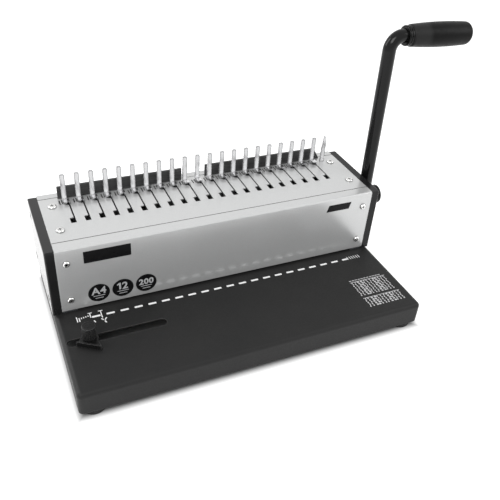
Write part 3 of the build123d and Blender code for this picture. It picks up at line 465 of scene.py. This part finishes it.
# ---- Zinc-plated screws and sheet ----
# The screws of the feet, frames, die, hub and end covers, and the folded frames, rails
# and runners, are mild steel with bright zinc plate: cold grey, with faint rolling marks.
zinc_grey, zinc_blue = (0.52, 0.53, 0.54), (0.42, 0.46, 0.50)
screw_zinc, shader = finish_of("screw_zinc", zinc_grey, 0.35, 1.0)
passivated = between(shader, speckle(shader, 0.0016), 0, 1)
coloured(shader, two_tone(shader, passivated, zinc_grey, (0.50, 0.47, 0.38)))
roughened(shader, between(shader, speckle(shader, 0.0008), 0.28, 0.46))
raise_by(shader, speckle(shader, 0.0003), 0.000008, edge=0.0002)
finish_nodes(screw_zinc, "foot_screws", "frame_screws", "left_cover_screws", "right_cover_screws",
             "die_set_screws", "hub_set_screw")

zinc_sheet, shader = finish_of("zinc_sheet", zinc_grey, 0.4, 1.0)
rolled = speckle(shader, 0.0012, stretch=(1, 14, 1), detail=4.0)
tone = two_tone(shader, between(shader, speckle(shader, 0.02), 0, 1), zinc_grey, zinc_blue)
tone = over(shader, tone, times(shader, edge_band(shader, 0.0006), 0.6), (0.66, 0.67, 0.67))
# Deep inside the body the zinc sheet is painted near black by an occlusion mask, a painted shade.
enclosed = make_node(shader, "AmbientOcclusion", samples=8, Distance=0.03)
painted_shade_inside = between(shader, enclosed.outputs["AO"], low=0.96, high=0.0, start=0.12, stop=0.55)
coloured(shader, over(shader, tone, painted_shade_inside, grey(0.010)))
roughened(shader, between(shader, rolled, 0.30, 0.48))
raise_by(shader, rolled, 0.000006, edge=0.0003)
finish_nodes(zinc_sheet, "left_frame", "right_frame", "paper_stop", "carriage_rails", "tray_runners",
             "opener_levers", "hook_carriage", "edge_guide_shoe")

# ---- Silver covers and top panel ----
# The front cover, top panel and rear cover are folded 1.2 mm sheet in silver metallic
# lacquer: fine bright flakes under a satin clear coat. The folds are painted a little brighter, a painted
# highlight, and the walls of slots and windows are painted near black, a painted shade.
silver_dark, silver_light = (0.585, 0.59, 0.59), (0.665, 0.67, 0.67)
silver, shader = finish_of("silver_lacquer", silver_light, 0.24, 0.44)
flakes = speckle(shader, 0.00045, detail=1.0)
cloud = speckle(shader, 0.06, detail=2.0)
tone = two_tone(shader, between(shader, flakes, 0, 1), silver_dark, silver_light)
# Edges and folds are painted lighter, a painted highlight.
tone = over(shader, tone, times(shader, edge_band(shader, 0.0008), 0.45), grey(0.80))
# The walls of slots, windows and seams are painted near black by an occlusion mask, a painted shade.
inside = make_node(shader, "AmbientOcclusion", samples=8, Distance=0.005)
crevice_painted_shade = between(shader, inside.outputs["AO"], low=1.0, high=0.0, start=0.40, stop=0.72)
coloured(shader, over(shader, tone, crevice_painted_shade, grey(0.012)))
roughened(shader, between(shader, cloud, 0.21, 0.27))
raise_by(shader, flakes, 0.000010, edge=0.0006)
finish_nodes(silver, "front_cover", "top_panel", "rear_cover")

# ---- Plates and discs on the front cover ----
# Bare black vinyl plates in the two label places, and three round capacity discs with
# silver figures: paper size, sheets for each punch, and sheets in one bound book.
cover_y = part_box("front_cover")[0].y
vinyl_rise = 0.00012
ink_on_vinyl = vinyl_rise + 0.00005
name_place_corners = (-0.1469, 0.0865, -0.1012, 0.1001)
name_place_round = 0.0006
lean = 0.0024
type_place_corners = [(0.1165, 0.0909), (0.1470 - lean, 0.0909), (0.1470, 0.0992), (0.1165 + lean, 0.0992)]
disc_radius, disc_z, disc_sides = 0.01075, 0.0475, 64
disc_marks = ((-0.1355, 0.0, "A4"), (-0.1115, 0.0022, "2"), (-0.0875, 0.0, "200"))
line_halves, line_drop, line_step, line_thick = (0.0058, 0.0040), 0.0036, 0.0029, 0.0004
short_figure_size, long_figure_size, figure_drop, figure_lift = 0.0118, 0.0096, 0.0014, 0.00003


def flat_on_cover(u, v, w):
    """The point u, v on the front cover, w in front of it."""
    return (u, cover_y - w, v)


vinyl, shader = finish_of("black_vinyl", (0.004, 0.004, 0.0045), 0.32, Specular_IOR_Level=0.14)
clouding = between(shader, speckle(shader, 0.004), 0, 1)
coloured(shader, two_tone(shader, clouding, (0.003, 0.003, 0.0035), (0.006, 0.006, 0.0065)))
roughened(shader, between(shader, speckle(shader, 0.0025), 0.26, 0.40))
raise_by(shader, speckle(shader, 0.0009), 0.000006, edge=0.0001)
name_place = rounded_bar(*name_place_corners, name_place_round)
laid("name_place", [name_place], flat_on_cover, vinyl_rise, vinyl, "machine")
laid("type_place", [type_place_corners], flat_on_cover, vinyl_rise, vinyl, "machine")

silver_ink, shader = finish_of("silver_ink", (0.55, 0.56, 0.57), 0.45, 0.35)
glitter = between(shader, speckle(shader, 0.0005), 0, 1)
coloured(shader, two_tone(shader, glitter, (0.52, 0.53, 0.54), (0.72, 0.73, 0.74)))
discs, small_lines = [], []
for disc_x, aside, figure in disc_marks:
    angles = [math.tau * k / disc_sides for k in range(disc_sides)]
    discs.append([(disc_x + disc_radius * math.cos(a), disc_z + disc_radius * math.sin(a)) for a in angles])
    for row, half in enumerate(line_halves):
        row_z = disc_z - line_drop - line_step * row
        small_lines.append(bar(disc_x - half, row_z - line_thick, disc_x + half, row_z + line_thick))
    letters = bpy.data.curves.new("figure_" + figure, "FONT")
    letters.body = figure
    letters.size = short_figure_size if len(figure) < 3 else long_figure_size
    letters.offset = 0.00034
    letters.space_character = 1.08
    letters.extrude = 0.00002
    letters.resolution_u = 6
    letters.align_x = "CENTER"
    drawn = bpy.data.objects.new("drawn", letters)
    bpy.context.scene.collection.objects.link(drawn)
    bpy.context.view_layer.update()
    flat_figure = drawn.evaluated_get(bpy.context.evaluated_depsgraph_get())
    figure_mesh = bpy.data.meshes.new_from_object(flat_figure)
    bpy.data.objects.remove(drawn)
    figure_place = (disc_x + aside, cover_y - vinyl_rise - figure_lift, disc_z - figure_drop)
    figure_mesh.transform(Matrix.Translation(figure_place) @ Matrix.Rotation(math.pi / 2, 4, "X"))
    figure_mesh.materials.clear()
    figure_mesh.materials.append(silver_ink)
    figures = bpy.data.objects.new("disc_figure_" + figure, figure_mesh)
    bpy.context.scene.collection.objects.link(figures)
    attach(figures, "machine")

# The 1 of the middle figure is cut as one outline, with a plain slanting flag.
one_shape = ((-0.0039, -0.0014), (-0.0019, -0.0014), (-0.0019, 0.0069), (-0.0036, 0.0069),
             (-0.0058, 0.0054), (-0.0058, 0.0037), (-0.0039, 0.0046))
middle_disc_x = disc_marks[1][0]
one_outline = [(middle_disc_x + u, disc_z + v) for u, v in one_shape]
laid("disc_figure_1", [one_outline], flat_on_cover, ink_on_vinyl, silver_ink, "machine",
     low=vinyl_rise)
laid("capacity_discs", discs, flat_on_cover, vinyl_rise, vinyl, "machine")
laid("disc_lines", small_lines, flat_on_cover, ink_on_vinyl, silver_ink, "machine",
     low=vinyl_rise)

# ---- Bright screws ----
# Round-headed cross-recess screws with bright plate hold the covers and the top panel.
# The recess and the rim under the head are painted dark, a painted shade.
screw_bright, shader = finish_of("screw_bright", (0.80, 0.80, 0.79), 0.12, 1.0)
# An occlusion mask paints the recess and the rim under the head dark, a painted shade.
hollow = make_node(shader, "AmbientOcclusion", samples=8, Distance=0.0022)
recess_painted_shade = between(shader, hollow.outputs["AO"], low=1.0, high=0.0, start=0.50, stop=0.86)
tone = two_tone(shader, between(shader, speckle(shader, 0.0008), 0, 1), (0.74, 0.74, 0.73), (0.82, 0.82, 0.81))
coloured(shader, over(shader, tone, recess_painted_shade, grey(0.035)))
roughened(shader, between(shader, speckle(shader, 0.0006, stretch=(6, 1, 1)), 0.12, 0.24))
raise_by(shader, speckle(shader, 0.0004), 0.000004, edge=0.00025)
finish_nodes(screw_bright, "top_panel_screws", "front_cover_screws", "rear_cover_screws")

# ---- End covers ----
# Two black moulded covers close the ends of the body. Their outside has a fine spark
# texture with lighter, rubbed corners. The left cover is glossier than the right one.
for cover, gloss in (("left_end_cover", 0.42), ("right_end_cover", 0.17)):
    moulded, shader = finish_of(cover + "_plastic", (0.017, 0.017, 0.018), 0.13, Specular_IOR_Level=gloss)
    cloud = between(shader, speckle(shader, 0.03), 0, 1)
    tone = two_tone(shader, cloud, (0.0125, 0.0125, 0.0128), (0.0155, 0.0155, 0.0160))
    lighter_edges = times(shader, edge_band(shader, 0.0012), between(shader, speckle(shader, 0.005), 0.2, 0.8))
    coloured(shader, over(shader, tone, lighter_edges, (0.065, 0.065, 0.067)))
    roughened(shader, between(shader, speckle(shader, 0.0016), 0.10, 0.17))
    raise_by(shader, speckle(shader, 0.0012, detail=2.0), 0.000002, edge=0.0006)
    finish_nodes(moulded, cover)

# ---- Tines ----
# The comb of 22 fixed tines is stamped from 1.6 mm steel sheet, polished along its
# length and nickel plated. Plastic combs have rubbed fine lines up and down each tine.
tine_plate, shader = finish_of("tine_nickel", (0.95, 0.95, 0.96), 0.14, 0.55)
drawn_lines = speckle(shader, 0.0006, stretch=(1, 1, 16), detail=4.0)
tone = two_tone(shader, between(shader, drawn_lines, 0, 1), (0.90, 0.90, 0.91), (0.98, 0.98, 0.99))
# The edges are painted dark, a painted reflection of dark surroundings along each tine edge.
coloured(shader, over(shader, tone, edge_band(shader, 0.0024), (0.10, 0.10, 0.105)))
roughened(shader, between(shader, drawn_lines, 0.09, 0.20))
raise_by(shader, drawn_lines, 0.000006, edge=0.0003)
finish_nodes(tine_plate, "tine_comb")

# ---- Comb rests ----
# Two black steel strips stand behind the tines and carry the spine of the comb. Their
# faces show fine rolling lines along their length under a thin satin paint.
rest_paint, shader = finish_of("comb_rest_paint", grey(0.030), 0.42, Specular_IOR_Level=0.5)
grain = speckle(shader, 0.0007, stretch=(22, 1, 1), detail=4.0)
tone = two_tone(shader, between(shader, grain, 0, 1), grey(0.016), grey(0.058))
coloured(shader, over(shader, tone, times(shader, edge_band(shader, 0.0005), 0.5), grey(0.10)))
roughened(shader, between(shader, grain, 0.34, 0.52))
raise_by(shader, grain, 0.00002, edge=0.0003)
finish_nodes(rest_paint, "comb_rest_left", "comb_rest_right")

# ---- Opening hooks ----
# Each hook is a stamped steel blade with a bent tab, bright plated, and stands on a foot
# on the carriage. The tabs are polished by the rings of the combs that they pull open.
hook_plate, shader = finish_of("hook_plate", (0.80, 0.80, 0.81), 0.1, 1.0)
fine_lines = speckle(shader, 0.0005, stretch=(1, 10, 1), detail=3.0)
tone = two_tone(shader, between(shader, fine_lines, 0, 1), (0.70, 0.70, 0.71), (0.84, 0.84, 0.85))
# The edges are painted dark, painted dark outlines.
tone = over(shader, tone, times(shader, edge_band(shader, 0.0006), 0.8), (0.12, 0.12, 0.125))
# Where the hooks stand down in the slots an occlusion mask paints them near black, a painted shade.
sunk = make_node(shader, "AmbientOcclusion", samples=8, Distance=0.0025)
slot_painted_shade = between(shader, sunk.outputs["AO"], low=0.9, high=0.0, start=0.2, stop=0.55)
coloured(shader, over(shader, tone, slot_painted_shade, grey(0.012)))
roughened(shader, between(shader, fine_lines, 0.06, 0.15))
raise_by(shader, fine_lines, 0.000004, edge=0.0002)
finish_nodes(hook_plate, "opening_hooks")

# ---- Punching tools ----
# The die, guide plate, punch bar, punches and cams are hardened tool steel, ground flat
# in one direction and wiped with oil, which darkens them in patches.
tool_steel, shader = finish_of("ground_tool_steel", (0.40, 0.40, 0.41), 0.3, 1.0)
ground = speckle(shader, 0.0005, stretch=(30, 1, 1), detail=4.0)
oil = between(shader, speckle(shader, 0.012, detail=4.0), 0, 1, 0.4, 0.7)
tone = two_tone(shader, oil, (0.42, 0.42, 0.43), (0.27, 0.25, 0.22))
coloured(shader, over(shader, tone, times(shader, edge_band(shader, 0.0004), 0.7), (0.60, 0.60, 0.61)))
roughened(shader, between(shader, ground, 0.22, 0.38))
raise_by(shader, ground, 0.000005, edge=0.0002)
finish_nodes(tool_steel, "die_plate", "punch_guide_plate", "punch_bar", "punches", "punch_cams")

# ---- Shaft, tube, guide pins and stud ----
# Ground round bar and drawn tube, smooth and bright, with fine rings left by the wheel
# along the length.
bar_steel, shader = finish_of("ground_bar", (0.58, 0.58, 0.59), 0.22, 1.0)
rings = speckle(shader, 0.0004, stretch=(1, 12, 12), detail=3.0)
tone = two_tone(shader, between(shader, rings, 0, 1), (0.52, 0.52, 0.53), (0.64, 0.64, 0.65))
coloured(shader, over(shader, tone, between(shader, speckle(shader, 0.01), 0, 0.4), (0.40, 0.37, 0.32)))
roughened(shader, between(shader, rings, 0.17, 0.30))
raise_by(shader, rings, 0.000003, edge=0.0003)
finish_nodes(bar_steel, "handle_shaft", "cam_tube", "punch_guide_pins", "edge_guide_stud")

# ---- Bushes ----
# The shaft turns in two flanged bushes of sintered bronze, porous and soaked with oil.
bronze, shader = finish_of("sintered_bronze", (0.50, 0.34, 0.16), 0.45, 1.0)
pores = between(shader, speckle(shader, 0.0004, detail=2.0), 0, 1, 0.52, 0.62)
tone = two_tone(shader, pores, (0.52, 0.35, 0.17), (0.16, 0.10, 0.05))
coloured(shader, over(shader, tone, times(shader, edge_band(shader, 0.0004), 0.6), (0.68, 0.50, 0.28)))
roughened(shader, between(shader, pores, 0.36, 0.7))
raise_by(shader, pores, -0.00003, edge=0.0002)
finish_nodes(bronze, "left_bush", "right_bush")

# ---- Springs and clip ----
# Coiled from hard-drawn spring wire, and a stamped retaining clip in the same steel,
# both left with a thin blue-grey heat colour.
spring_wire, shader = finish_of("spring_wire", (0.30, 0.31, 0.34), 0.32, 1.0)
heat = speckle(shader, 0.004, detail=3.0)
coloured(shader, two_tone(shader, between(shader, heat, 0, 1), (0.34, 0.34, 0.36), (0.22, 0.20, 0.24)))
roughened(shader, between(shader, speckle(shader, 0.0005), 0.25, 0.42))
raise_by(shader, speckle(shader, 0.0003), 0.000004, edge=0.0001)
finish_nodes(spring_wire, "return_springs", "shaft_clip")

# ---- Coils of the return springs ----
# A coil of 1 mm wire stands round each guide pin and lifts the punch bar again.
coil_low, coil_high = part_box("return_springs")
coil_wire, coil_turns, bar_stroke = 0.0005, 5, 0.010
end_room = 1.1 * coil_wire
coil_radius = (coil_high.y - coil_low.y) / 2 - coil_wire
coil_height = coil_high.z - coil_low.z - 2 * end_room
coil_middle_y = (coil_low.y + coil_high.y) / 2
steps_each, round_wire = 28, 10
form = bmesh.new()
for side in (-1, 1):
    centre = Vector((side * (coil_high.x - coil_radius - coil_wire), coil_middle_y, coil_low.z + end_room))
    wraps = []
    for k in range(coil_turns * steps_each + 1):
        turn = math.tau * k / steps_each
        out = Vector((math.cos(turn), math.sin(turn), 0))
        risen = coil_height * k / (coil_turns * steps_each)
        ring = []
        for j in range(round_wire):
            angle = math.tau * j / round_wire
            reach = coil_radius + coil_wire * math.cos(angle)
            height = risen + coil_wire * math.sin(angle)
            ring.append(form.verts.new(centre + out * reach + Vector((0, 0, height))))
        wraps.append(ring)
    for first, second in zip(wraps, wraps[1:]):
        for j in range(round_wire):
            beside = (j + 1) % round_wire
            form.faces.new((first[j], first[beside], second[beside], second[j])).smooth = True
    form.faces.new(wraps[0])
    form.faces.new(wraps[-1])
bmesh.ops.recalc_face_normals(form, faces=form.faces)
coil_mesh = bpy.data.meshes.new("return_spring_coils")
form.to_mesh(coil_mesh)
form.free()
coil_mesh.materials.append(spring_wire)
coils = bpy.data.objects.new("return_spring_coils", coil_mesh)
bpy.context.scene.collection.objects.link(coils)
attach(coils, "machine")
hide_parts("return_springs")
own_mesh(coils)

# ---- Handle arm and hub ----
# The arm is a bent steel bar, with a spigot that sits in a turned hub on the end of the
# shaft. Both are stove enamelled in gloss black, with a faint orange-peel surface.
enamel, shader = finish_of("black_enamel", (0.005, 0.005, 0.0052), 0.12, Specular_IOR_Level=0.22)
peel = speckle(shader, 0.0022, detail=2.0)
cloud = between(shader, speckle(shader, 0.02), 0, 1)
tone = two_tone(shader, cloud, (0.004, 0.004, 0.0042), (0.006, 0.006, 0.0062))
chips = times(shader, edge_band(shader, 0.0005), between(shader, speckle(shader, 0.002), 0.0, 0.5, 0.5, 0.75))
coloured(shader, over(shader, tone, chips, grey(0.12)))
roughened(shader, between(shader, speckle(shader, 0.006), 0.10, 0.18))
raise_by(shader, peel, 0.00002, edge=0.0004)
finish_nodes(enamel, "handle_arm", "handle_hub")

# ---- Handle grip ----
# A long barrel of soft black moulding over the end of the arm. It has a fine matt skin,
# greyer over its inner quarter.
grip_skin, shader = finish_of("grip_skin", grey(0.006), 0.40, Specular_IOR_Level=0.10)
place = make_node(shader, "TexCoord")
apart = make_node(shader, "SeparateXYZ")
shader.id_data.links.new(place.outputs["Object"], apart.inputs["Vector"])
grip_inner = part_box("handle_grip")[0].x
grey_band_length, grey_band_fade = 0.018, 0.005
grey_band_end = grip_inner + grey_band_length
past_grey_band = between(shader, apart.outputs["X"], low=0.0, high=1.0, start=grey_band_end, stop=grey_band_end + grey_band_fade)
tone = two_tone(shader, past_grey_band, grey(0.022), grey(0.0035))
coloured(shader, over(shader, tone, between(shader, speckle(shader, 0.006), 0.0, 0.2), grey(0.014)))
roughened(shader, between(shader, speckle(shader, 0.004), 0.34, 0.48))
raise_by(shader, speckle(shader, 0.0006, detail=4.0), 0.00004, edge=0.0005)
finish_nodes(grip_skin, "handle_grip")

# ---- Hub cap and grip collar ----
# A snap-in cap of black plastic closes the end of the hub, and a collar of the same
# glossy plastic sits against the grip. Their rims are painted a little lighter, a painted highlight.
cap, shader = finish_of("hub_cap_plastic", grey(0.003), 0.16, Specular_IOR_Level=0.16)
turned = speckle(shader, 0.0012)
tone = two_tone(shader, between(shader, turned, 0, 1), grey(0.0025), grey(0.004))
# The rims are painted lighter, a painted highlight.
coloured(shader, over(shader, tone, times(shader, edge_band(shader, 0.0007), 0.7), grey(0.10)))
roughened(shader, between(shader, turned, 0.12, 0.22))
raise_by(shader, speckle(shader, 0.0005), 0.00002)
finish_nodes(cap, "hub_cap", "grip_collar")

# ---- Chip tray ----
# A black moulded drawer under the body collects the punched chips. Its floor is dusted
# with paper lint, and its sides are scuffed by the runners.
tray_plastic, shader = finish_of("tray_plastic", grey(0.022), 0.5, Specular_IOR_Level=0.4)
lint = between(shader, speckle(shader, 0.0012, detail=6.0), 0, 0.7, 0.62, 0.75)
scuff = between(shader, speckle(shader, 0.0006, stretch=(1, 30, 1), detail=3.0), 0, 0.5, 0.55, 0.75)
tone = two_tone(shader, scuff, grey(0.020), grey(0.045))
coloured(shader, over(shader, tone, lint, grey(0.10)))
roughened(shader, between(shader, speckle(shader, 0.002), 0.42, 0.60))
raise_by(shader, speckle(shader, 0.0006), 0.00003)
finish_nodes(tray_plastic, "chip_tray")

# ---- Edge guide ----
# A swinging stop and a fluted knob, moulded in black plastic, ride on a stud in the slot
# of the base. Turning the knob clamps the stop for one paper size.
knob_plastic, shader = finish_of("knob_plastic", grey(0.006), 0.26, Specular_IOR_Level=0.34)
tone = two_tone(shader, between(shader, speckle(shader, 0.003), 0, 1), grey(0.0045), grey(0.007))
# The edges and rims are painted lighter, a painted highlight.
lighter_edges = times(shader, edge_band(shader, 0.0008), between(shader, speckle(shader, 0.002), 0.4, 0.95))
coloured(shader, over(shader, tone, lighter_edges, grey(0.16)))
roughened(shader, between(shader, speckle(shader, 0.0012), 0.24, 0.38))
raise_by(shader, speckle(shader, 0.0006), 0.00002, edge=0.0003)
finish_nodes(knob_plastic, "edge_guide_stop", "edge_guide_knob")
